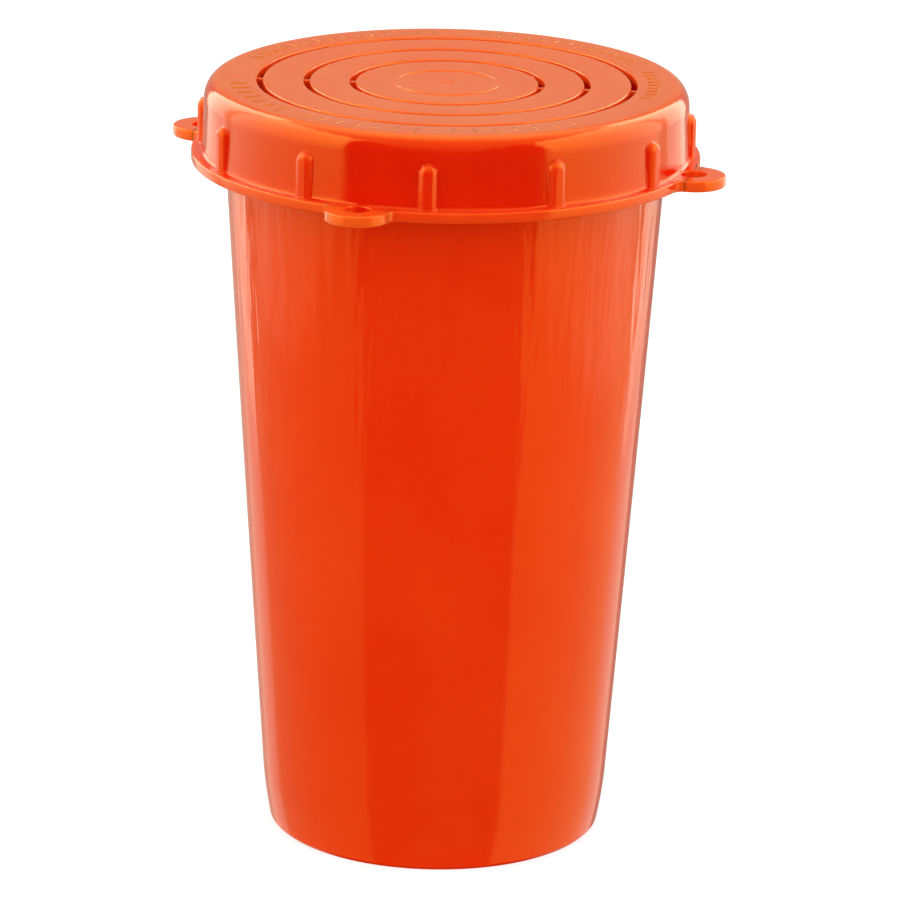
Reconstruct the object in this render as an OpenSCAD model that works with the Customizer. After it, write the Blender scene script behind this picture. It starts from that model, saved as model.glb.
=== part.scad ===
// Bait jar: a tapered round jar with a wide mouth and a slotted cap.
// Two mouldings. The jar stands on z = 0 with its axis on z. The cap sits on the jar's rim,
// turned to the point where its four catches stand between the jar's four ramps, so it
// lifts straight off. Turning it by 45 degrees locks it. All sizes are in millimetres.

/* [Jar] */
// Height of the jar from base to rim
jar_h = 181.3; // [150:0.1:220]
// Outer radius of the base, at its lowest edge
foot_r = 38.75; // [36:0.05:40]
// Outer radius where the foot's curve runs into the tapered wall
wall_low_r = 41.46; // [40.8:0.02:42.5]
// Height at which the foot's curve ends
foot_h = 12; // [10:0.5:16]
// Outer radius at the top of the tapered wall
wall_top_r = 52.0; // [48:0.05:52.05]
// Outward swell of the wall at half height
wall_swell = 0.12; // [0:0.01:0.5]
// Wall thickness
wall_t = 2.2; // [1.6:0.1:3]
// Floor thickness
floor_t = 2.2; // [1.6:0.1:4]
// Depth of the recess under the floor
base_recess = 1.2; // [0.4:0.1:3]
// Outer radius of the neck
neck_r = 52.05; // [50:0.05:52.3]
// Height of the neck below the rim
neck_h = 15.3; // [12:0.1:16]

/* [Closure] */
// Number of ramps on the neck, and of catches in the cap
ramp_count = 4; // [3:1:5]
// Angle that one ramp covers
ramp_angle = 30; // [20:1:32]
// Angle that one catch covers
catch_angle = 26; // [16:1:28]
// How far the ramps stand out of the neck
ramp_out = 1.8; // [1:0.1:2.2]
// How far the catches stand in from the cap's inner wall
catch_in = 2.4; // [1.2:0.1:2.5]

/* [Cap] */
// Height of the cap's centre above the ground
cap_top = 182.75; // [182.5:0.05:183.2]
// Rise of the cap's top from its centre to a radius of 50 mm
cap_dish = 0.6; // [0.3:0.05:1]
// Radius where the rounded shoulder starts
shoulder_r = 53.33; // [52:0.05:54]
// Outer radius of the skirt below the shoulder
skirt_top_r = 57.1; // [56.6:0.05:57.5]
// Outer radius of the skirt at the flange
skirt_low_r = 57.6; // [57.1:0.05:58]
// Height of the rounded shoulder
shoulder_h = 4.95; // [3:0.05:6]
// Thickness of the top plate
plate_t = 1.9; // [1.5:0.1:2.1]
// Inner radius of the skirt
bore_r = 55.2; // [54.9:0.05:55.4]
// Height of the flange's underside above the ground
flange_z = 164.2; // [163.5:0.1:165]
// Thickness of the flange
flange_t = 2.45; // [1.8:0.05:3]
// Outer radius of the flange
flange_r = 60; // [59:0.1:61]

/* [Cap slots] */
// Middle radius of the inner slot
slot_r1 = 22.2; // [20:0.1:24]
// Middle radius of the middle slot
slot_r2 = 33.0; // [31:0.1:35]
// Middle radius of the outer slot
slot_r3 = 44.0; // [42:0.1:45]
// Width of each slot
slot_w = 1.4; // [1.2:0.1:2.6]
// Number of bars under the plate that carry the rings
bar_count = 12; // [6:1:16]
// Width of each bar
bar_w = 1.3; // [1:0.1:2.4]
// Drop of the bars' top face below the cap's centre
bar_drop = 0.45; // [0.2:0.05:1]
// Height of each bar
bar_h = 4.6; // [3:0.1:6]

/* [Cap grip ribs] */
// Number of grip ribs around the skirt
rib_count = 12; // [8:1:20]
// Angle of the rib nearest the front, measured from -Y towards +X
rib_turn = -3.8; // [-15:0.1:15]
// Width of a grip rib
rib_w = 4.2; // [3:0.1:6]
// Outer radius of the ribs' crests
rib_r = 58.8; // [58.4:0.05:59.4]
// Height of the ribs' upper ends above the flange's underside
rib_top = 13.5; // [9:0.1:14.5]

/* [Cap lugs] */
// Angle of the lug nearest the front, measured from -Y towards +X
lug_turn = -18.8; // [-40:0.1:20]
// Radius of the circle that the lug holes lie on
lug_hole_circle = 61; // [60.5:0.1:63]
// Radius of a lug's rounded end
lug_r = 7.5; // [6:0.1:9]
// Radius of a lug's hole
lug_hole_r = 2.95; // [2:0.05:4]
// Thickness of a lug
lug_t = 2.6; // [2.5:0.05:4]
// Radius of the fillet between a lug and the flange
lug_fillet = 2; // [1:0.1:3]

/* [Cap raised marks] */
// Height of the raised marks and of the centre ring
mark_h = 0.2; // [0.2:0.05:0.6]
// Radius of the centre ring
mark_ring_r = 12.2; // [8:0.1:15]

/* [Hidden] */
$fn = 180;
eps = 0.01;
lug_count = 4;
step = 360 / ramp_count;
neck_low = jar_h - neck_h;
ramp_z = jar_h - 11.4;
plate_low = cap_top - plate_t;
shoulder_top = cap_top + cap_dish * pow(shoulder_r / 50, 2);

function wall_r(z) =
    let (u = (z - foot_h) / (neck_low - foot_h))
    wall_low_r + (wall_top_r - wall_low_r) * u + 4 * wall_swell * u * (1 - u);

function foot_curve(u) =
    foot_r + 1.05 + (wall_low_r - foot_r - 1.05) * (1.35 * u - 0.35 * u * u);

function dish_z(r) = cap_top + cap_dish * pow(r / 50, 2);

// Half section of the jar's body, base to rim outside and back down inside
module jar_section() {
    inner_low = base_recess + floor_t;
    polygon(concat(
        [[0, base_recess], [foot_r - 5.6, base_recess], [foot_r - 4.4, 0], [foot_r, 0]],
        [[foot_r + 0.7, 0.35], [foot_r + 1.05, 0.9]],
        [for (u = [0.2:0.2:0.8]) [foot_curve(u), 0.9 + (foot_h - 0.9) * u]],
        [for (k = [0:6]) let (z = foot_h + k * (neck_low - foot_h) / 6) [wall_r(z), z]],
        [[neck_r, neck_low + 1.5], [neck_r, jar_h - 0.3], [neck_r - 0.3, jar_h]],
        [[neck_r - wall_t + 0.4, jar_h], [neck_r - wall_t, jar_h - 0.4]],
        [for (k = [6:-1:0]) let (z = foot_h + k * (neck_low - foot_h) / 6) [wall_r(z) - wall_t, z]],
        [[foot_r - 0.7, inner_low + 2.2], [foot_r - 1.9, inner_low + 0.6]],
        [[foot_r - 4.2, inner_low], [0, inner_low]]
    ));
}

// One stepped ramp on the neck, with sloped faces above and below
module ramp() {
    rotate_extrude(angle = ramp_angle, start = -ramp_angle / 2)
        polygon([
            [neck_r - 0.5, ramp_z],
            [neck_r, ramp_z],
            [neck_r + ramp_out, ramp_z + 0.7],
            [neck_r + ramp_out, ramp_z + 2.2],
            [neck_r, ramp_z + 3.4],
            [neck_r - 0.5, ramp_z + 3.4]
        ]);
}

module jar() {
    color([0.93, 0.27, 0.03])
        union() {
            rotate_extrude() jar_section();
            for (k = [0:ramp_count - 1])
                rotate(-90 + lug_turn + k * step) ramp();
        }
}

// Half section of the cap without its ribs, lugs and slots
module cap_section() {
    polygon(concat(
        [for (r = [0, 20, 35, 50]) [r, dish_z(r)]],
        [for (t = [0:15:90]) [
            shoulder_r + (skirt_top_r - shoulder_r) * sin(t),
            shoulder_top - shoulder_h * (1 - cos(t))
        ]],
        [[skirt_low_r, flange_z + flange_t + 0.9]],
        [[skirt_low_r + 0.3, flange_z + flange_t + 0.25]],
        [[skirt_low_r + 0.9, flange_z + flange_t]],
        [[flange_r - 0.35, flange_z + flange_t], [flange_r, flange_z + flange_t - 0.35]],
        [[flange_r, flange_z + 0.35], [flange_r - 0.35, flange_z]],
        [[bore_r + 0.4, flange_z], [bore_r, flange_z + 0.4]],
        [[bore_r - 0.3, cap_top - 4], [bore_r - 1.1, plate_low + cap_dish]],
        [for (r = [50, 35, 0]) [r, plate_low + cap_dish * pow(r / 50, 2)]]
    ));
}

// Plan of one grip rib, pointing along +x
module rib_plan() {
    edge = 0.9;
    union() {
        translate([skirt_low_r - 2, -rib_w / 2])
            square([rib_r - edge - skirt_low_r + 2, rib_w]);
        translate([skirt_low_r - 2, -rib_w / 2 + edge])
            square([rib_r - skirt_low_r + 2, rib_w - 2 * edge]);
        for (s = [-1, 1])
            translate([rib_r - edge, s * (rib_w / 2 - edge)])
                circle(r = edge, $fn = 32);
    }
}

// All the grip ribs, with their upper ends sloped back to the skirt
module grip_ribs() {
    top = flange_z + rib_top;
    intersection() {
        translate([0, 0, flange_z + 1])
            linear_extrude(rib_top + 2)
                for (k = [0:rib_count - 1])
                    rotate(-90 + rib_turn + k * 360 / rib_count) rib_plan();
        rotate_extrude()
            polygon([
                [bore_r + 0.6, flange_z],
                [rib_r + 1, flange_z],
                [rib_r + 1, top - 1.8],
                [rib_r, top - 1.6],
                [rib_r - 0.3, top - 0.8],
                [rib_r - 0.9, top - 0.2],
                [rib_r - 1.7, top],
                [bore_r + 0.6, top]
            ]);
    }
}

// Plan of one lug, pointing along +x, with a fillet on each side where it leaves the flange
module lug_plan() {
    out = sqrt(pow(flange_r + lug_fillet, 2) - pow(lug_r + lug_fillet, 2));
    touch = flange_r / (flange_r + lug_fillet);
    union() {
        translate([bore_r + 1, -lug_r])
            square([lug_hole_circle - bore_r - 1, 2 * lug_r]);
        translate([lug_hole_circle, 0])
            circle(r = lug_r, $fn = 96);
        for (s = [-1, 1])
            difference() {
                polygon([
                    [flange_r - 3, s * (lug_r - 1)],
                    [out, s * (lug_r - 1)],
                    [out, s * lug_r],
                    [out * touch, s * (lug_r + lug_fillet) * touch],
                    [flange_r - 3, s * lug_r]
                ]);
                translate([out, s * (lug_r + lug_fillet)])
                    circle(r = lug_fillet, $fn = 64);
            }
    }
}

module lugs() {
    translate([0, 0, flange_z])
        linear_extrude(lug_t)
            for (k = [0:lug_count - 1])
                rotate(-90 + lug_turn + k * 90) lug_plan();
}

// Round holes through the lugs and the flange's edge
module lug_holes() {
    for (k = [0:lug_count - 1])
        rotate(-90 + lug_turn + k * 90)
            translate([lug_hole_circle, 0, flange_z - 1])
                cylinder(h = lug_t + 3, r = lug_hole_r, $fn = 64);
}

// One catch on the cap's inner wall
module catch() {
    rotate_extrude(angle = catch_angle, start = -catch_angle / 2)
        polygon([
            [bore_r + 0.6, flange_z + 2.2],
            [bore_r - 0.1, flange_z + 2.2],
            [bore_r - catch_in, flange_z + 2.9],
            [bore_r - catch_in, flange_z + 4.3],
            [bore_r - 0.1, flange_z + 5.4],
            [bore_r + 0.6, flange_z + 5.4]
        ]);
}

// Bars under the plate, from the middle disc out to the rim's seat
module under_bars() {
    for (k = [0:bar_count - 1])
        rotate(-90 + rib_turn + k * 360 / bar_count)
            translate([14, -bar_w / 2, cap_top - bar_drop - bar_h])
                cube([34, bar_w, bar_h]);
}

// A ring-shaped slot cut right through the plate
module ring_slot(r) {
    rotate_extrude()
        translate([r - slot_w / 2, plate_low - 3])
            square([slot_w, plate_t + 6]);
}

// A group of plain raised bars in the band outside the slots
module mark_group(first, last, count, r_mid, len) {
    for (k = [0:count - 1])
        rotate(-90 + first + k * (last - first) / (count - 1))
            translate([r_mid - len / 2, -0.45, dish_z(r_mid) - 0.8])
                cube([len, 0.9, 0.8 + mark_h]);
}

module raised_marks() {
    mark_group(-82, -50, 7, 49.4, 4.6);
    mark_group(-40, -8, 7, 49.4, 4.6);
    mark_group(2, 36, 7, 49.4, 4.6);
    mark_group(74, 104, 9, 48.6, 3.2);
    mark_group(118, 170, 13, 49.4, 3.6);
    mark_group(184, 246, 15, 49.4, 3.6);
    rotate_extrude()
        translate([mark_ring_r - 0.3, cap_top - 0.5])
            square([0.6, 0.5 + mark_h]);
}

module lid() {
    color([0.94, 0.30, 0.05])
        union() {
            difference() {
                union() {
                    rotate_extrude() cap_section();
                    raised_marks();
                    lugs();
                }
                ring_slot(slot_r1);
                ring_slot(slot_r2);
                ring_slot(slot_r3);
                lug_holes();
            }
            under_bars();
            grip_ribs();
            for (k = [0:ramp_count - 1])
                rotate(-90 + lug_turn + step / 2 + k * step) catch();
        }
}

jar();
lid();
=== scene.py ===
"""A bait jar with a slotted cap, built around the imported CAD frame.

The shape code is in millimetres; the stage, the lights and the camera are in metres. An angle round the axis
is in degrees, unless its name says radians, and goes from the viewer's side (-y) towards +x.
"""
import math

import bmesh
import bpy
import numpy as np
from mathutils import Matrix, Vector


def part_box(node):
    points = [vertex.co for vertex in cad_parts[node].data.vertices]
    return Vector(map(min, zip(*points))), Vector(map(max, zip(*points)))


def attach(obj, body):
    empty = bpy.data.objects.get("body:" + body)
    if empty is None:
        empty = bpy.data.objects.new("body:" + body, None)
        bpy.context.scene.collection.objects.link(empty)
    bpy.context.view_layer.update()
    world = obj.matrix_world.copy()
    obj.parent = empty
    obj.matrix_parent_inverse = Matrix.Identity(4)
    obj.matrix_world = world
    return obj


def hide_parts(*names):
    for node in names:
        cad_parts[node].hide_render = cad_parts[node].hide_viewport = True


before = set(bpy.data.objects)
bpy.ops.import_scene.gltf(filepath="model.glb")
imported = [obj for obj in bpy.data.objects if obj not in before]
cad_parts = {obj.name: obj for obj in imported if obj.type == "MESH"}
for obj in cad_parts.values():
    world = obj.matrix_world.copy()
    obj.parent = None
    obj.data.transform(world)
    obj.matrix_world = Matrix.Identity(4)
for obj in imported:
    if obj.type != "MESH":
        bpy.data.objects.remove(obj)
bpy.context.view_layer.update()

# ---------------------------------------------------------------- sizes

MM = 0.001                              # a millimetre in the scene's metres
JAR_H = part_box("jar")[1].z / MM         # rim of the jar
FLANGE_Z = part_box("lid")[0].z / MM      # underside of the cap's flange
CAP_TOP = FLANGE_Z + 18.55              # centre of the cap's top
SHARP = 35                              # faces that meet at a larger angle than this show an edge

# the cap's plate, skirt and flange: radii from the axis, and thicknesses
PLATE = 1.9                             # thickness of the top plate
SHOULDER = 53.33                        # where the plate turns down into the shoulder
SHOULDER_OUT, SHOULDER_DOWN = 3.77, 4.95        # how far the shoulder's arc goes out, and down
BORE = 55.2                             # inside of the skirt
SKIRT = 57.6                            # outside of the skirt, at the flange
FLANGE_R = 60.0
FLANGE_T = 2.45

# the ring slots
SLOTS = (22.2, 33.0, 44.0)              # radius of the middle of each slot
SLOT_W = 1.4
SLOT_EDGE, SLOT_FOOT = 0.45, 0.3        # rounding of the edges above and below

# the raised ring and the raised bars on the plate
RING_R = 12.2
RING_FOOT, RING_CREST = 0.42, 0.26      # half the ring's width, below and above
MARK_W, MARK_H, RELIEF = 0.9, 1.0, 0.2  # RELIEF is how far they stand out, MARK_H includes what is sunk in
MARK_GROUPS = [                         # first and last angle, how many, radius of the middle, length
    (-82, -50, 7, 49.4, 4.6),
    (-40, -8, 7, 49.4, 4.6),
    (2, 36, 7, 49.4, 4.6),
    (74, 104, 9, 48.6, 3.2),
    (118, 170, 13, 49.4, 3.6),
    (184, 246, 15, 49.4, 3.6),
]

# the radial bars under the slots
BAR = (34.6, 1.3, 4.6)                  # length, width and depth
BAR_R, BAR_SUNK = 31, 0.45              # radius of the middle, and how far the top is below the plate's top

# the grip ribs
RIB_PITCH = 30
RIBS = [-3.8 + RIB_PITCH * k for k in range(12)]
RIB_TOP = FLANGE_Z + 13.0
RIB_CREST, RIB_MEAN = 58.8, 57.8        # radius of the crest, and the radius at which the width is measured
RIB_FLAT, RIB_FLANK = 0.85, 1.15        # half the crest's width, and the width of each flank
RIB_ROUND = 2.15                        # radius of the rounded top, seen from outside
RIB_ZONE = 2.7                          # half the angle that is divided finely at each rib

# the tie lugs
LUGS = [-18.8 + 90 * k for k in range(4)]
LUG_R = 61.0                            # radius of the hole's axis
LUG_END, LUG_FILLET = 7.5, 2.0          # radius of the round end, and of the curve that flows into the flange
LUG_HOLE, LUG_EDGE = 2.95, 0.42         # radius of the hole, and rounding of all edges
LUG_LOW, LUG_HIGH = FLANGE_Z - 0.01, FLANGE_Z + 2.6

# the catches inside the skirt
CATCH_LOW, CATCH_H = FLANGE_Z + 2.2, 3.2
CATCH_OUT, CATCH_HALF = 2.4, 13         # how far a catch stands out, and half the angle it covers

# the jar
FOOT_H, NECK_H = 12, 15.3               # heights of the rounded foot and of the straight neck
FOOT_R = 39.8                           # outside radius low on the foot
WALL_LOW, WALL_HIGH = 41.46, 52.0       # outside radii of the wall, above the foot and below the neck
BULGE = 0.12                            # how far the wall's middle stands out of a straight line
WALL, FLOOR = 2.2, 3.4                  # thickness of the wall, and height of the floor's top
RAMP_DROP, RAMP_H = 11.4, 3.4           # how far below the rim a ramp starts, and its height
RAMP_OUT, RAMP_HALF = 1.8, 14.6         # how far a ramp stands out, and half the angle it covers

# ---------------------------------------------------------------- shape helpers


def dish(r):
    """Height of the cap's slightly dished top."""
    return CAP_TOP + 0.6 * (r / 50.0) ** 2


def soft_max(a, b, k):
    """The larger of a and b, blended where they are less than k apart."""
    h = np.clip(0.5 + 0.5 * (a - b) / k, 0, 1)
    return b * (1 - h) + a * h + k * h * (1 - h)


def step_up(lo, hi, x):
    """Rises smoothly from 0 at lo to 1 at hi."""
    t = np.clip((x - lo) / (hi - lo), 0, 1)
    return t * t * (3 - 2 * t)


def rounded(points, seg):
    """A closed polygon [(r, z, fillet radius)] as a dense closed line with its corners rounded."""
    out = []
    n = len(points)
    for i in range(n):
        p = np.array(points[i][:2], float)
        a = np.array(points[i - 1][:2], float) - p
        b = np.array(points[(i + 1) % n][:2], float) - p
        rad = points[i][2]
        la, lb = np.linalg.norm(a), np.linalg.norm(b)
        if rad <= 0 or la < 1e-9 or lb < 1e-9:
            out.append(p)
            continue
        a, b = a / la, b / lb
        half = math.acos(max(-1, min(1, float(a @ b)))) / 2
        if half > math.pi / 2 - 0.01:
            out.append(p)
            continue
        cut = min(rad / math.tan(half), 0.49 * la, 0.49 * lb)
        rad = cut * math.tan(half)
        mid = (a + b) / np.linalg.norm(a + b)
        centre = p + mid * rad / math.sin(half)
        v0, v1 = p + a * cut - centre, p + b * cut - centre
        turn = math.atan2(v0[0] * v1[1] - v0[1] * v1[0], float(v0 @ v1))
        for k in range(seg + 1):
            t = turn * k / seg
            c, s = math.cos(t), math.sin(t)
            out.append(centre + np.array([v0[0] * c - v0[1] * s, v0[0] * s + v0[1] * c]))
    return np.array(out)


def fine(line, step):
    """A closed line with every stretch cut into pieces no longer than step((r, z))."""
    out = []
    for i in range(len(line)):
        p, q = line[i], line[(i + 1) % len(line)]
        k = max(1, int(math.ceil(np.linalg.norm(q - p) / step((p + q) / 2))))
        out.extend(p + (q - p) * j / k for j in range(k))
    return np.array(out)


def lathe(line, radians, shape=None):
    """Verts and faces of a closed section turned about z. shape(r, z, radians) gives the moved r, z."""
    m, n = len(line), len(radians)
    r = np.repeat(line[:, 0][None, :], n, 0)
    z = np.repeat(line[:, 1][None, :], n, 0)
    a = np.repeat(np.asarray(radians)[:, None], m, 1)
    if shape:
        r, z = shape(r, z, a)
    verts = np.stack([r * np.sin(a), -r * np.cos(a), z], -1).reshape(-1, 3)
    idx = np.arange(n * m).reshape(n, m)
    for j in range(m):
        if line[j, 0] < 1e-6:           # a point on the axis is one vertex for the whole turn
            idx[:, j] = idx[0, j]
    faces = []
    for i in range(n):
        i2 = (i + 1) % n
        for j in range(m):
            j2 = (j + 1) % m
            f = [idx[i, j], idx[i, j2], idx[i2, j2], idx[i2, j]]
            f = [x for k, x in enumerate(f) if x != f[k - 1]]
            if len(set(f)) > 2:
                faces.append([int(x) for x in f])
    used = np.unique(np.concatenate([np.array(f) for f in faces]))
    new = -np.ones(n * m, int)
    new[used] = np.arange(len(used))
    return verts[used], [[int(new[x]) for x in f] for f in faces]


def tube_faces(count, n):
    """Quads that join each of count closed loops to the next. A loop has n points."""
    return [[k * n + i, k * n + (i + 1) % n, (k + 1) * n + (i + 1) % n, (k + 1) * n + i]
            for k in range(count - 1) for i in range(n)]


def round_box(size, bevel, seg=3):
    """A box centred at the origin with all its edges rounded."""
    bm = bmesh.new()
    bmesh.ops.create_cube(bm, size=1)
    for v in bm.verts:
        v.co = Vector((v.co.x * size[0], v.co.y * size[1], v.co.z * size[2]))
    bmesh.ops.bevel(bm, geom=bm.edges[:], offset=bevel, segments=seg, profile=0.5, affect="EDGES")
    verts = np.array([list(v.co) for v in bm.verts])
    bm.verts.index_update()
    faces = [[v.index for v in f.verts] for f in bm.faces]
    bm.free()
    return verts, faces


def at_angle(verts, deg):
    """Turns a shape that points along +x to an angle round the axis."""
    t = math.radians(deg - 90)
    c, s = math.cos(t), math.sin(t)
    out = np.asarray(verts, float).copy()
    x, y = out[:, 0].copy(), out[:, 1].copy()
    out[:, 0], out[:, 1] = x * c - y * s, x * s + y * c
    return out


def join(parts):
    """One (verts, faces) from several."""
    verts, faces, base = [], [], 0
    for v, f in parts:
        verts.append(np.asarray(v, float))
        faces.extend([[x + base for x in g] for g in f])
        base += len(v)
    return np.concatenate(verts), faces


# ---------------------------------------------------------------- object helpers


def add_object(name, data):
    ob = bpy.data.objects.new(name, data)
    bpy.context.scene.collection.objects.link(ob)
    return ob


def raw_object(name, verts, faces):
    """An object from verts in millimetres, with no shading or material yet."""
    me = bpy.data.meshes.new(name)
    me.from_pydata([tuple(v) for v in np.asarray(verts, float) * MM], [], faces)
    me.validate()
    return add_object(name, me)


def combine(ob, steps):
    """Joins solids to ob or cuts them out of it, in order, and removes them: steps = [(operation, other)]."""
    for operation, other in steps:
        mod = ob.modifiers.new(other.name, "BOOLEAN")
        mod.operation, mod.solver, mod.object = operation, "MANIFOLD", other
    bpy.context.view_layer.update()
    me = bpy.data.meshes.new_from_object(ob.evaluated_get(bpy.context.evaluated_depsgraph_get()))
    ob.modifiers.clear()
    ob.data = me
    for _, other in steps:
        bpy.data.objects.remove(other)


def finish(ob, body, node, slot, material, painted_light):
    """Shading, painted light, material and body of a finished piece. The last argument, a number or a
    function of (r, z), sets how far painted glow and highlights lighten the colour.
    """
    me = ob.data
    me.polygons.foreach_set("use_smooth", [True] * len(me.polygons))
    me.set_sharp_from_angle(angle=math.radians(SHARP))
    co = np.empty(len(me.vertices) * 3)
    me.vertices.foreach_get("co", co)
    co = co.reshape(-1, 3) / MM
    value = painted_light(np.hypot(co[:, 0], co[:, 1]), co[:, 2]) if callable(painted_light) else np.full(len(co), painted_light)
    # painted light: how far the material lightens this vertex's colour
    me.attributes.new("painted_light", "FLOAT", "POINT").data.foreach_set("value", value.astype(np.float32))
    me.materials.clear()
    me.materials.append(material)
    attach(ob, body)
    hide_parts(node)


def mesh_object(name, verts, faces, body, node, slot, material, painted_light=0.0):
    """A finished piece straight from its verts and faces."""
    finish(raw_object(name, verts, faces), body, node, slot, material, painted_light)


# ---------------------------------------------------------------- materials

PAINTED_LIGHT = (0.85, 0.122, 0.012)             # painted light: lighter orange mixed into the colour for painted glow and highlights
CLEAR, FULL = (0, 0, 0), (1, 1, 1)
DRAWN_FROM, DRAWN_FULL = 0.085, 0.135   # heights, in metres, between which the drawn marks come in


def plastic(name, deep, pale, draw=1.0):
    """Glossy, slightly translucent moulded plastic. draw is how strong the marks drawn along the wall are."""
    mat = bpy.data.materials.new(name)
    mat.use_nodes = True
    nt = mat.node_tree
    nt.nodes.clear()
    new = nt.nodes.new
    link = nt.links.new
    out = new("ShaderNodeOutputMaterial")
    bsdf = new("ShaderNodeBsdfPrincipled")
    link(bsdf.outputs[0], out.inputs[0])
    coord = new("ShaderNodeTexCoord")

    def noise(scale, detail, rough, stretch=None, warp=0.0):
        source = coord.outputs["Object"]
        if stretch:
            m = new("ShaderNodeMapping")
            m.inputs["Scale"].default_value = stretch
            link(source, m.inputs["Vector"])
            source = m.outputs[0]
        n = new("ShaderNodeTexNoise")
        n.inputs["Scale"].default_value = scale
        n.inputs["Detail"].default_value = detail
        n.inputs["Roughness"].default_value = rough
        n.inputs["Distortion"].default_value = warp
        link(source, n.inputs["Vector"])
        return n.outputs["Fac"]

    def ramp(fac, *stops):
        c = new("ShaderNodeValToRGB")
        for element, (position, colour) in zip(c.color_ramp.elements, stops):
            element.position = position
            element.color = (*colour, 1)
        link(fac, c.inputs[0])
        return c.outputs[0]

    def calc(operation, *values):
        m = new("ShaderNodeMath")
        m.operation = operation
        for i, x in enumerate(values):
            if isinstance(x, (int, float)):
                m.inputs[i].default_value = x
            else:
                link(x, m.inputs[i])
        return m.outputs[0]

    def bump(height, distance, strength, before=None):
        b = new("ShaderNodeBump")
        b.inputs["Strength"].default_value = strength
        b.inputs["Distance"].default_value = distance
        link(height, b.inputs["Height"])
        if before is not None:
            link(before, b.inputs["Normal"])
        return b.outputs[0]

    # pigment: broad clouds and drawn-out flow lines from the gate
    cloud = noise(26, detail=3, rough=0.55, warp=0.6)
    flow = noise(9, detail=4, rough=0.6, stretch=(9, 9, 1.2), warp=0.4)
    fac = calc("ADD", calc("MULTIPLY", cloud, 0.6), calc("MULTIPLY", flow, 0.4))
    colour = ramp(fac, (0.32, deep), (0.68, pale))
    # painted light: the colour is lightened towards a lighter orange, as far as the mesh attribute says, to
    # paint the glow of light through thin plastic and highlights
    painted_light = new("ShaderNodeAttribute")
    painted_light.attribute_name = "painted_light"
    mix = new("ShaderNodeMix")
    mix.data_type = "RGBA"
    link(calc("MULTIPLY", painted_light.outputs["Fac"], calc("MULTIPLY_ADD", fac, 0.9, 0.55)), mix.inputs[0])
    link(colour, mix.inputs[6])
    mix.inputs[7].default_value = (*PAINTED_LIGHT, 1)
    link(mix.outputs[2], bsdf.inputs["Base Color"])
    # gloss: fine haze, faint rubs
    haze = noise(420, detail=3, rough=0.6)
    rubs = noise(30, detail=5, rough=0.7, stretch=(22, 22, 3.2), warp=1.5)
    rub = ramp(rubs, (0.60, CLEAR), (0.74, FULL))
    rough = calc("ADD", 0.07, calc("MULTIPLY", haze, 0.08))
    rough = calc("ADD", rough, calc("MULTIPLY", rub, 0.07))
    link(rough, bsdf.inputs["Roughness"])
    # surface: slow waviness from cooling, marks drawn along the upper wall, faint orange peel
    wave = noise(17, detail=2, rough=0.4, stretch=(1, 1, 0.45), warp=0.2)
    drawn = noise(280, detail=2, rough=0.5, stretch=(1, 1, 0.10))
    height = new("ShaderNodeSeparateXYZ")
    link(coord.outputs["Object"], height.inputs[0])
    upper = new("ShaderNodeMapRange")
    upper.inputs["From Min"].default_value = DRAWN_FROM
    upper.inputs["From Max"].default_value = DRAWN_FULL
    link(height.outputs[2], upper.inputs[0])
    drawn = calc("MULTIPLY", drawn, upper.outputs[0])
    peel = noise(850, detail=2, rough=0.5)
    normal = bump(wave, distance=0.0011, strength=0.3)
    normal = bump(drawn, distance=0.0004 * draw, strength=1.0, before=normal)
    normal = bump(peel, distance=0.00004, strength=0.35, before=normal)
    link(normal, bsdf.inputs["Normal"])
    # body: the tint keeps reflections warm, and red light spreads furthest inside
    bsdf.inputs["IOR"].default_value = 1.5
    bsdf.inputs["Specular Tint"].default_value = (1, 0.65, 0.1, 1)
    bsdf.inputs["Subsurface Weight"].default_value = 0.6
    bsdf.inputs["Subsurface Radius"].default_value = (1.0, 0.28, 0.08)
    bsdf.inputs["Subsurface Scale"].default_value = 0.006
    return mat


MAT_LID = plastic("lid_plastic", (0.72, 0.0105, 0.0012), (0.78, 0.018, 0.002), draw=0.15)
MAT_JAR = plastic("jar_plastic", (0.85, 0.028, 0.0025), (0.90, 0.044, 0.004))

# ---------------------------------------------------------------- cap


def cap_radians():
    """Where the shell's sections stand: close together at the ribs, wider between them."""
    out = []
    for a in RIBS:
        out += list(np.arange(a - RIB_ZONE, a + RIB_ZONE, 0.19))
        out += list(np.arange(a + RIB_ZONE, a + (RIB_PITCH - RIB_ZONE), 0.55))
    return np.radians(np.array(sorted(out)))


def cap_shape(r, z, radians):
    """Grip ribs that stand out of the skirt: a flat crest, sloping flanks and a round top."""
    turn = (np.degrees(radians) - RIBS[0] + RIB_PITCH / 2) % RIB_PITCH - RIB_PITCH / 2
    across = np.radians(turn) * RIB_MEAN
    above = np.clip(z - (RIB_TOP - RIB_ROUND), 0, None)
    d = np.sqrt(across * across + above * above)
    slope, drop, soft = 0.68, 4, 0.15           # of the flanks, beyond the flanks, and at the crest's edge
    x = np.clip(d - RIB_FLAT, 0, RIB_FLANK)
    rib = RIB_CREST - slope * (np.sqrt(x * x + soft ** 2) - soft)
    rib = rib - np.clip(d - RIB_FLAT - RIB_FLANK, 0, None) * drop
    moved = soft_max(r, rib, 0.35)
    moved = np.where(rib > r - 0.6, moved, r)
    outside = (r > 56.2) & (z > FLANGE_Z + FLANGE_T - 0.2)
    return np.where(outside, np.maximum(moved, r), r), z


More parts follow.
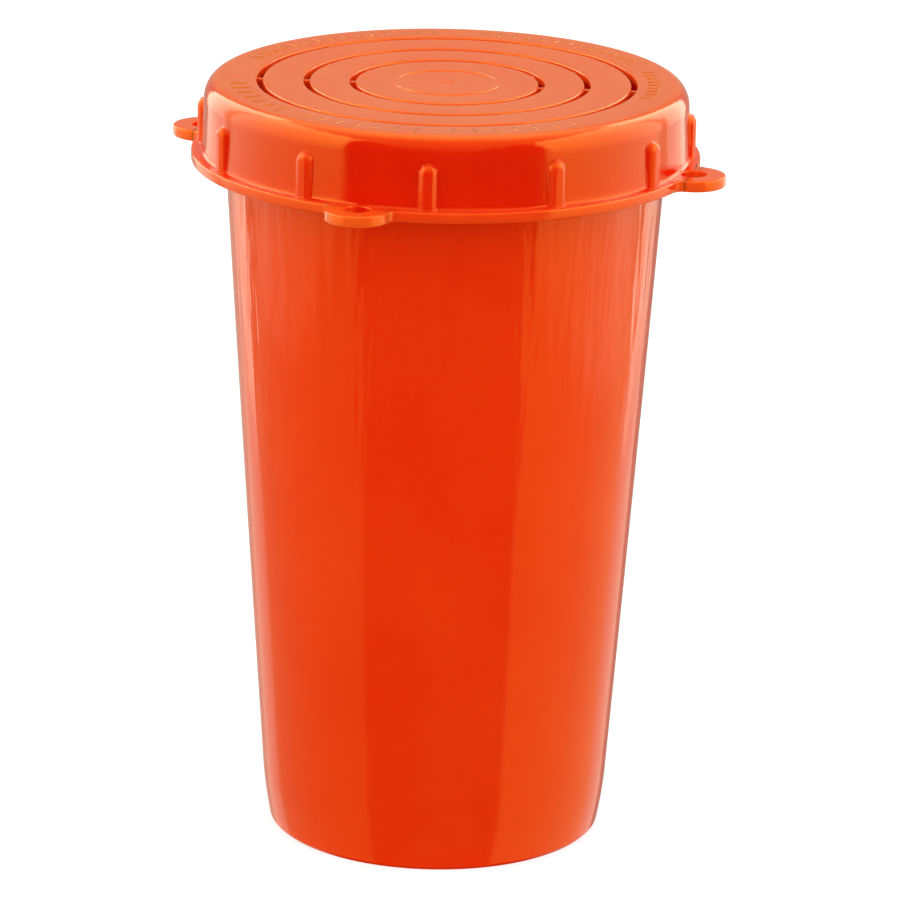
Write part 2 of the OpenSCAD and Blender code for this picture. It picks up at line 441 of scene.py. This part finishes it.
def cap_outer():
    """Section of the shell: the plate outside the last slot, the shoulder, the skirt and the flange."""
    r0 = SLOTS[2] + SLOT_W / 2
    z0 = dish(SHOULDER)
    rows_r, rows_z = SKIRT - 0.315, 9.9         # on the skirt: its rows are close above this, for the ribs
    pts = [(r0, dish(r0), SLOT_EDGE)]
    pts += [(r, dish(r), 0) for r in (47, 49, 51)]
    pts += [(SHOULDER + SHOULDER_OUT * math.sin(t), z0 - SHOULDER_DOWN * (1 - math.cos(t)), 0)
            for t in np.linspace(0, math.pi / 2, 19)]
    pts += [(rows_r, FLANGE_Z + rows_z, 0), (SKIRT, FLANGE_Z + FLANGE_T, 0.95)]
    pts += [(FLANGE_R, FLANGE_Z + FLANGE_T, 0.42), (FLANGE_R, FLANGE_Z, 0.42), (BORE, FLANGE_Z, 0.4)]
    pts += [(BORE - 0.3, CAP_TOP - 3.2, 1.2), (BORE - 1.4, CAP_TOP - PLATE + 0.6, 0.4)]
    pts += [(r, dish(r) - PLATE, 0) for r in (50, 47)]
    pts += [(r0, dish(r0) - PLATE, SLOT_FOOT)]

    def step(p):
        if p[0] < 56 or p[1] < FLANGE_Z + FLANGE_T - 0.5:
            return 4.0
        return 0.27 if rows_z < p[1] - FLANGE_Z < 14.3 else 1.1

    return fine(rounded(pts, 5), step)


def plate_ring(r0, r1):
    """Section of the plate between two slots."""
    pts = [(r0, dish(r0), SLOT_EDGE), (r1, dish(r1), SLOT_EDGE)]
    pts += [(r1, dish(r1) - PLATE, SLOT_FOOT), (r0, dish(r0) - PLATE, SLOT_FOOT)]
    return fine(rounded(pts, 8), lambda p: 1.5)


def plate_disc():
    """Section of the plate inside the first slot, with the gate dimple and the raised ring."""
    r1 = SLOTS[0] - SLOT_W / 2
    ring = ((-RING_FOOT, 0), (-RING_CREST, RELIEF), (RING_CREST, RELIEF), (RING_FOOT, 0))
    pts = [(0, dish(0) - 0.25, 0), (1.1, dish(1.1) - 0.22, 0.3), (1.6, dish(1.6), 0.3)]
    pts += [(RING_R + out, dish(RING_R) + up, 0.1) for out, up in ring]
    pts += [(r1, dish(r1), SLOT_EDGE), (r1, dish(r1) - PLATE, SLOT_FOOT), (0, dish(0) - PLATE, 0)]
    return fine(rounded(pts, 6), lambda p: 1.5)


def plate_rings():
    """The plate inside the last slot: a disc and two rings."""
    gaps = [plate_ring(a + SLOT_W / 2, b - SLOT_W / 2) for a, b in zip(SLOTS, SLOTS[1:])]
    return join([lathe(line, np.radians(np.arange(0, 360, 0.75))) for line in (plate_disc(), *gaps)])


def marks():
    """Plain raised bars on the plate, in groups."""
    parts = []
    for first, last, count, mid, length in MARK_GROUPS:
        for k in range(count):
            v, f = round_box((length, MARK_W, MARK_H), bevel=0.42, seg=4)
            v[:, 0] += mid
            v[:, 2] += dish(v[:, 0]) + RELIEF - MARK_H / 2
            parts.append((at_angle(v, first + k * (last - first) / (count - 1)), f))
    return join(parts)


def bars():
    """Radial bars that hold the plate's rings together under the slots."""
    parts = []
    for a in RIBS:
        v, f = round_box(BAR, bevel=0.25)
        v[:, 0] += BAR_R
        v[:, 2] += CAP_TOP - BAR_SUNK - BAR[2] / 2
        parts.append((at_angle(v, a), f))
    return join(parts)


def lug_levels():
    """[(how far the edge is drawn in, height)] from a lug's underside to its top, with rounded edges."""
    arc = np.linspace(0, math.pi / 2, 7)
    e = LUG_EDGE
    low = [(e - e * math.sin(t), LUG_LOW + e - e * math.cos(t)) for t in arc]
    return low + [(e - e * math.cos(t), LUG_HIGH - e + e * math.sin(t)) for t in arc]


def lug():
    """One tie lug, pointing along +x: loops of points from bottom to top, with a fan closing each end."""
    off = LUG_END + LUG_FILLET
    out = math.sqrt((FLANGE_R + LUG_FILLET) ** 2 - off ** 2)     # the fillet's centre is at (out, off)
    end = math.atan2(-off, -out)                                # its direction towards the axis
    side = [(LUG_R + LUG_END * math.cos(t), LUG_END * math.sin(t)) for t in np.linspace(0, math.pi / 2, 40)]
    side += [(out + LUG_FILLET * math.cos(t), off + LUG_FILLET * math.sin(t))
             for t in np.linspace(-math.pi / 2, end, 16)]
    x, y = side[-1]
    side += [(x - 2.4, y * k) for k in (1, 0.8, 0.6, 0.4, 0.2, 0)]
    side = np.array(side)
    outline = np.concatenate([side, (side * [1, -1])[::-1][1:-1]])
    t = np.roll(outline, -1, 0) - np.roll(outline, 1, 0)
    normal = np.stack([t[:, 1], -t[:, 0]], -1) / np.linalg.norm(t, axis=1)[:, None]
    n = len(outline)
    spoke = outline - [LUG_R, 0]
    core = 3.2                                  # radius of the loops that the fans close
    inner = [LUG_R, 0] + spoke / np.linalg.norm(spoke, axis=1)[:, None] * core
    loops = [(inner, LUG_LOW)] + [(outline - normal * d, z) for d, z in lug_levels()] + [(inner, LUG_HIGH)]
    verts = [np.column_stack([xy, np.full(n, z)]) for xy, z in loops]
    verts = np.concatenate(verts + [[(LUG_R, 0, LUG_LOW), (LUG_R, 0, LUG_HIGH)]])
    top = (len(loops) - 1) * n
    faces = tube_faces(len(loops), n)
    faces += [[(i + 1) % n, i, len(verts) - 2] for i in range(n)]
    faces += [[top + i, top + (i + 1) % n, len(verts) - 1] for i in range(n)]
    return verts, faces


def lug_hole():
    """The tool that cuts one lug hole, flared at both ends so that the hole's edges come out rounded."""
    wide = LUG_HOLE + LUG_EDGE
    pts = [(0, LUG_LOW - 1), (wide, LUG_LOW - 1)]
    pts += [(LUG_HOLE + d, z) for d, z in lug_levels()]
    pts += [(wide, LUG_HIGH + 0.9), (0, LUG_HIGH + 0.9)]
    verts, faces = lathe(np.array(pts), np.radians(np.arange(0, 360, 5)))
    return verts + [LUG_R, 0, 0], [f[::-1] for f in faces]


def catches():
    """Catches inside the skirt, halfway between the lugs, fading out at both ends."""
    low, high, tip = CATCH_LOW, CATCH_LOW + CATCH_H, BORE - CATCH_OUT
    sect = [(BORE + 0.4, low, 0), (BORE - 0.1, low, 0.2), (tip, low + 0.7, 0.4)]
    sect += [(tip, low + 2.1, 0.4), (BORE - 0.1, high, 0.2), (BORE + 0.4, high, 0)]
    sect = rounded(sect, 4)
    inner = sect[:, 0] < BORE - 0.05
    m, n = len(sect), 60
    parts = []
    for a in LUGS:
        loops = []
        for k, t in enumerate(np.radians(np.linspace(-CATCH_HALF, CATCH_HALF, n)) + math.radians(a + 45)):
            end = min(k, n - 1 - k)
            size = min(1.0, 0.25 + 0.75 * math.sqrt(min(1.0, end / 3)))
            q = sect.copy()
            q[inner, 0] = BORE - (BORE - q[inner, 0]) * size
            loops.append(np.stack([q[:, 0] * math.sin(t), -q[:, 0] * math.cos(t), q[:, 1]], -1))
        faces = tube_faces(n, m)
        faces.append(list(range(m))[::-1])
        faces.append([(n - 1) * m + j for j in range(m)])
        parts.append((np.concatenate(loops), faces))
    return join(parts)


def lid_painted_light(r, z):
    """How far painted light lightens the cap's colour, 0 to 1: painted glow on the plate, under it and down
    the slots, on the flange and lugs, and painted highlights on the ribs' flanks.
    """
    # painted glow standing in for light through the plate, under it, and through the flange and lugs
    plate = 0.8 * step_up(-1.3, -0.2, z - dish(r)) * (r < 56)
    under = 0.75 * (r < 53) * step_up(0.15, 0.35, dish(r) - z)
    low = z < FLANGE_Z + 3
    rim = (0.38 * step_up(58.0, 59.0, r) + 0.45 * step_up(60.1, 61.0, r)) * low
    # painted highlight along the ribs' flanks
    flank = 0.25 * step_up(57.7, 58.1, r) * (1 - 0.75 * step_up(58.5, 58.78, r)) * (z > FLANGE_Z + 3)
    return np.maximum(np.maximum(plate, under), np.maximum(rim, flank))


def at_lugs(name, shape):
    """One object with a copy of a lug-sized shape at each lug."""
    verts, faces = shape
    return raw_object(name, *join([(at_angle(verts, a), faces) for a in LUGS]))


LID = ("lid", "lid", "lid_plastic", MAT_LID)
shell = raw_object("lid_shell", *lathe(cap_outer(), cap_radians(), cap_shape))
combine(shell, [("UNION", at_lugs("lugs", lug())), ("DIFFERENCE", at_lugs("holes", lug_hole()))])
# each piece's last argument is its painted light: painted glow and highlights that lighten its colour
finish(shell, *LID, lid_painted_light)
mesh_object("lid_rings", *plate_rings(), *LID, lid_painted_light)
mesh_object("lid_bars", *bars(), *LID, 0.6)
mesh_object("lid_marks", *marks(), *LID, 0.8)
mesh_object("lid_catches", *catches(), *LID, 0.3)

# ---------------------------------------------------------------- jar


def wall_r(z):
    """Outside radius of the tapered wall, which bulges a little."""
    u = (z - FOOT_H) / (JAR_H - NECK_H - FOOT_H)
    return WALL_LOW + (WALL_HIGH - WALL_LOW) * u + 4 * BULGE * u * (1 - u)


def jar_line():
    """Section of the jar: under the floor, standing ring, foot, wall, neck, rim, then down the inside."""
    neck = JAR_H - NECK_H
    foot = [(1.66 * (1.35 * u - 0.35 * u * u), 11.1 * u) for u in (0.2, 0.4, 0.6, 0.8)]
    pts = [(0, 1.2, 0), (33.15, 1.2, 0.5), (34.35, 0, 0.3), (38.85, 0, 0.55), (FOOT_R, 0.9, 0.4)]
    pts += [(FOOT_R + out, 0.9 + up, 0) for out, up in foot]
    pts += [(wall_r(z), z, 0) for z in np.linspace(FOOT_H, neck, 14)]
    pts += [(52.05, neck + 1.5, 0), (52.05, JAR_H, 0.4), (49.85, JAR_H, 0.4)]
    pts += [(wall_r(z) - WALL, z, 0) for z in np.linspace(neck, FOOT_H, 14)]
    pts += [(38.05, 5.6, 2.0), (36.85, 4.0, 2.0), (34.55, FLOOR, 1.5), (0, FLOOR, 0)]

    def step(p):
        at_ramps = p[1] > JAR_H - 12.6 and p[0] > 51
        return 0.45 if at_ramps else 5.0

    return fine(rounded(pts, 6), step)


def jar_shape(r, z, radians):
    """Four ramps on the outside of the neck."""
    low = JAR_H - RAMP_DROP
    turn = (np.degrees(radians) - LUGS[0] + 45) % 90 - 45
    side = 1 - step_up(RAMP_HALF - 0.4, RAMP_HALF + 0.4, np.abs(turn))
    rise = np.clip((z - low) / 0.7, 0, 1) * np.clip((low + RAMP_H - z) / 1.2, 0, 1)
    return np.where(r > 51.5, r + RAMP_OUT * step_up(0, 1, rise) * side, r), z


def jar_radians():
    """Where the jar's sections stand: even, with close ones at the ends of the ramps."""
    out = list(np.arange(0, 360, 0.9))
    for a in LUGS:
        for e in (-RAMP_HALF, RAMP_HALF):
            out += list(a + e + np.arange(-0.55, 0.55, 0.1))
    return np.unique(np.round(np.radians(np.array(out) % 360), 6))


mesh_object("jar_body", *lathe(jar_line(), jar_radians(), jar_shape), "jar", "jar", "jar_plastic", MAT_JAR)

# ---------------------------------------------------------------- stage: a floor and a tent of cards

FLOOR_HALF = 6                          # half the floor's side
FLOOR_GREY, FLOOR_GLOW = 0.40, 0.72
SIDE = (1, 0.92, 0.45)                  # tint of the table and the fill cards
BOX = (1, 0.94, 0.68)                   # tint of the boxes beside the jar
REAR = (1, 0.96, 0.75)                  # tint of what stands behind it
TENT_HALF, TENT_TOP = 0.40, 0.70        # the boxes' distance from the middle, and their height
TABLE_R = 2.5                           # distance and depth of the table and the sweep, seen low in the wall


def panel(name, corners, mat):
    """A flat object with one face."""
    me = bpy.data.meshes.new(name)
    me.from_pydata(corners, [], [tuple(range(len(corners)))])
    me.materials.append(mat)
    return add_object(name, me)


def floor_paper():
    """Plain pale floor for the camera. Diffuse and glossy rays don't see it."""
    mat = bpy.data.materials.new("floor_paper")
    mat.use_nodes = True
    b = mat.node_tree.nodes["Principled BSDF"]
    b.inputs["Base Color"].default_value = (FLOOR_GREY, FLOOR_GREY, FLOOR_GREY, 1)
    b.inputs["Roughness"].default_value = 0.9
    b.inputs["Specular IOR Level"].default_value = 0.0
    b.inputs["Emission Color"].default_value = (1, 1, 1, 1)
    b.inputs["Emission Strength"].default_value = FLOOR_GLOW
    h = FLOOR_HALF
    floor = panel("floor", [(-h, -h, 0), (h, -h, 0), (h, h, 0), (-h, h, 0)], mat)
    floor.visible_glossy = False
    floor.visible_diffuse = False


def graded(nt, levels, axis):
    """A strength that changes along one of the object's axes: levels = [(place, strength)], places rising."""
    lo, hi, most = levels[0][0], levels[-1][0], max(v for _, v in levels)
    coord = nt.nodes.new("ShaderNodeTexCoord")
    split = nt.nodes.new("ShaderNodeSeparateXYZ")
    span = nt.nodes.new("ShaderNodeMapRange")
    ramp = nt.nodes.new("ShaderNodeValToRGB")
    scale = nt.nodes.new("ShaderNodeMath")
    span.inputs["From Min"].default_value, span.inputs["From Max"].default_value = lo, hi
    stops = ramp.color_ramp.elements
    for place, _ in levels[1:-1]:
        stops.new((place - lo) / (hi - lo))
    for stop, (_, v) in zip(stops, levels):
        stop.color = (v / most, v / most, v / most, 1)
    scale.operation = "MULTIPLY"
    scale.inputs[1].default_value = most
    nt.links.new(coord.outputs["Object"], split.inputs[0])
    nt.links.new(split.outputs[axis], span.inputs[0])
    nt.links.new(span.outputs[0], ramp.inputs[0])
    nt.links.new(ramp.outputs[0], scale.inputs[0])
    return scale.outputs[0]


def card(name, corners, levels, tint, axis=2):
    """A glowing panel that only reflections see. levels: one strength, or a list for graded()."""
    mat = bpy.data.materials.new(name)
    mat.use_nodes = True
    nt = mat.node_tree
    nt.nodes.clear()
    glow = nt.nodes.new("ShaderNodeEmission")
    glow.inputs["Color"].default_value = (*tint, 1)
    if isinstance(levels, list):
        nt.links.new(graded(nt, levels, axis), glow.inputs["Strength"])
    else:
        glow.inputs["Strength"].default_value = levels
    out = nt.nodes.new("ShaderNodeOutputMaterial")
    nt.links.new(glow.outputs[0], out.inputs[0])
    mat.cycles.emission_sampling = "NONE"
    ob = panel(name, corners, mat)
    ob.visible_camera = False
    ob.visible_diffuse = False
    ob.visible_shadow = False
    ob.visible_transmission = False


def spot(angle, distance, z):
    """A place given by its angle from the viewer's side, its distance from the axis and its height."""
    t = math.radians(angle)
    return (distance * math.sin(t), -distance * math.cos(t), z)


def upright(name, ends, low, high, levels, tint):
    """A standing card between two ends, each (angle from the viewer's side, distance)."""
    (a, d), (b, e) = ends
    card(name, [spot(a, d, low), spot(b, e, low), spot(b, e, high), spot(a, d, high)], levels, tint)


def tent_side(side, name, gain, low, table, rear, back):
    """One side of the tent. gain lifts the box, low is its lower edge, the rest is the low cards' glow."""
    levels = [(low, 1.2 * gain * gain), (0.0, 1.4 * gain * gain), (0.09, 2.2 * gain), (0.17, 3.4 * gain)]
    levels += [(0.40, 5.6), (TENT_TOP, 7.5)]
    box = [(side * a, TENT_HALF / math.sin(math.radians(a))) for a in (46, 114)]
    upright(f"{name}_box", box, low, TENT_TOP, levels, BOX)
    lamp = [(120, 0.46, 0.05), (132, 0.46, -0.035), (147, 0.5, 0.05)]
    lamp += [(147, 0.5, TENT_TOP), (120, 0.46, TENT_TOP)]
    levels = [(-0.035, 1.6 * gain), (0.06, 1.8 * gain), (0.10, 2.6), (0.30, 4.5), (TENT_TOP, 7.0)]
    card(f"{name}_lamp", [spot(side * a, d, z) for a, d, z in lamp], levels, REAR)
    wedge = [(121, 0.43, 0.05), (130, 0.43, -0.055), (140, 0.43, 0.0), (140, 0.43, 0.12), (121, 0.43, 0.12)]
    card(f"{name}_wedge", [spot(side * a, d, z) for a, d, z in wedge], 1.95, REAR)
    fill = [(side * 108, 0.62), (side * 124, 0.62)]
    upright(f"{name}_fill", fill, 0.0, 1.0, [(0.0, 1.2), (0.3, 2.4), (1.0, 5.0)], SIDE)
    for part, a, b, glow, tint in (("table", 46, 90, table, SIDE), ("table_far", 90, 130, table, SIDE),
                                   ("sweep", 130, 154, rear, REAR), ("sweep_far", 154, 180, back, REAR)):
        upright(f"{name}_{part}", [(side * a, TABLE_R), (side * b, TABLE_R)], -TABLE_R, 0, glow, tint)


def tent_back_and_top():
    """A wall behind the jar, a ceiling that fades towards the viewer, and a narrow streak above it."""
    back_y, back_x, front_y, top_x, top_z = 0.62, 0.5, -1.6, 0.42, 0.75
    wall = [(-back_x, back_y, 0), (back_x, back_y, 0), (back_x, back_y, top_z), (-back_x, back_y, top_z)]
    card("back_wall", wall, 0.5, (1, 0.97, 0.72))
    streak = [spot(-28, 0.60, 0.80), spot(-12, 0.60, 0.80), spot(-12, 0.60, 0.86), spot(-28, 0.60, 0.86)]
    card("streak", streak, 9.0, (1, 0.97, 0.8))
    levels = [(front_y, 0.3), (-1.1, 0.6), (-0.6, 1.15), (-0.3, 1.7), (-0.05, 2.3), (0.15, 2.2)]
    levels += [(back_y, 1.0)]
    ceiling = [(-top_x, front_y, top_z), (top_x, front_y, top_z)]
    ceiling += [(top_x, back_y, top_z), (-top_x, back_y, top_z)]
    card("ceiling", ceiling, levels, (1, 0.95, 0.6), axis=1)


floor_paper()
tent_side(-1, "left", gain=0.95, low=-0.015, table=0.72, rear=1.05, back=0.6)
tent_side(1, "right", gain=1.15, low=-0.03, table=1.15, rear=1.1, back=0.35)
tent_back_and_top()

# ---------------------------------------------------------------- light

SOFT_SIZE, SOFT_POWER = 1.6, 4
SOFT_AIM = Vector((0, 0, 0.1))
SKY_LOW, SKY_HIGH = 0.76, 1.27          # the world's strength straight down and straight up


def soft_light(name, place):
    """A broad light on the object that reflections don't show."""
    light = bpy.data.lights.new(name, "AREA")
    light.shape = "RECTANGLE"
    light.size = light.size_y = SOFT_SIZE
    light.energy = SOFT_POWER
    ob = add_object(name, light)
    ob.location = place
    ob.rotation_euler = (SOFT_AIM - Vector(place)).to_track_quat("-Z", "Y").to_euler()
    ob.visible_camera = False
    ob.visible_glossy = False


def inner_glow():
    """The little light that reaches the inside through the translucent wall."""
    light = bpy.data.lights.new("inner_glow", "POINT")
    light.energy = 0.02
    light.color = (1, 0.25, 0.05)
    light.shadow_soft_size = 0.03
    ob = add_object("inner_glow", light)
    ob.location = (0, 0, 0.6 * JAR_H * MM)
    ob.visible_glossy = False


def sky():
    """Even light all round, a little stronger from above, that reflections don't show."""
    world = bpy.data.worlds.new("room")
    world.use_nodes = True
    nt = world.node_tree
    coord = nt.nodes.new("ShaderNodeTexCoord")
    split = nt.nodes.new("ShaderNodeSeparateXYZ")
    span = nt.nodes.new("ShaderNodeMapRange")
    span.inputs["From Min"].default_value = -1
    span.inputs["To Min"].default_value = SKY_LOW
    span.inputs["To Max"].default_value = SKY_HIGH
    nt.links.new(coord.outputs["Generated"], split.inputs[0])
    nt.links.new(split.outputs[2], span.inputs[0])
    nt.links.new(span.outputs[0], nt.nodes["Background"].inputs["Strength"])
    nt.nodes["Background"].inputs["Color"].default_value = (1, 1, 1, 1)
    bpy.context.scene.world = world
    world.cycles_visibility.glossy = False


soft_light("soft_left", (-1.5, -0.5, 0.9))
soft_light("soft_right", (1.5, -0.5, 0.9))
inner_glow()
sky()

# ---------------------------------------------------------------- camera

ELEV, ROLL = math.radians(17.033), math.radians(1.1228)
LENS, SENSOR = 232.63, 36
AIM, DISTANCE = Vector((0.002379, 0, 0.092509)), 1.392707

level = Vector((1, 0, 0))
up = Vector((0, math.sin(ELEV), math.cos(ELEV)))
away = Vector((0, -math.cos(ELEV), math.sin(ELEV)))     # from the object to the camera
cam_x = level * math.cos(ROLL) + up * math.sin(ROLL)
cam_y = up * math.cos(ROLL) - level * math.sin(ROLL)
cam = bpy.data.cameras.new("camera")
cam.lens = LENS
cam.sensor_width = SENSOR
cam.clip_start, cam.clip_end = 0.05, 50
cam_ob = add_object("camera", cam)
turned = Matrix((cam_x, cam_y, away)).transposed().to_4x4()
cam_ob.matrix_world = Matrix.Translation(AIM + away * DISTANCE) @ turned
bpy.context.scene.camera = cam_ob
bpy.context.scene.view_settings.view_transform = "Standard"
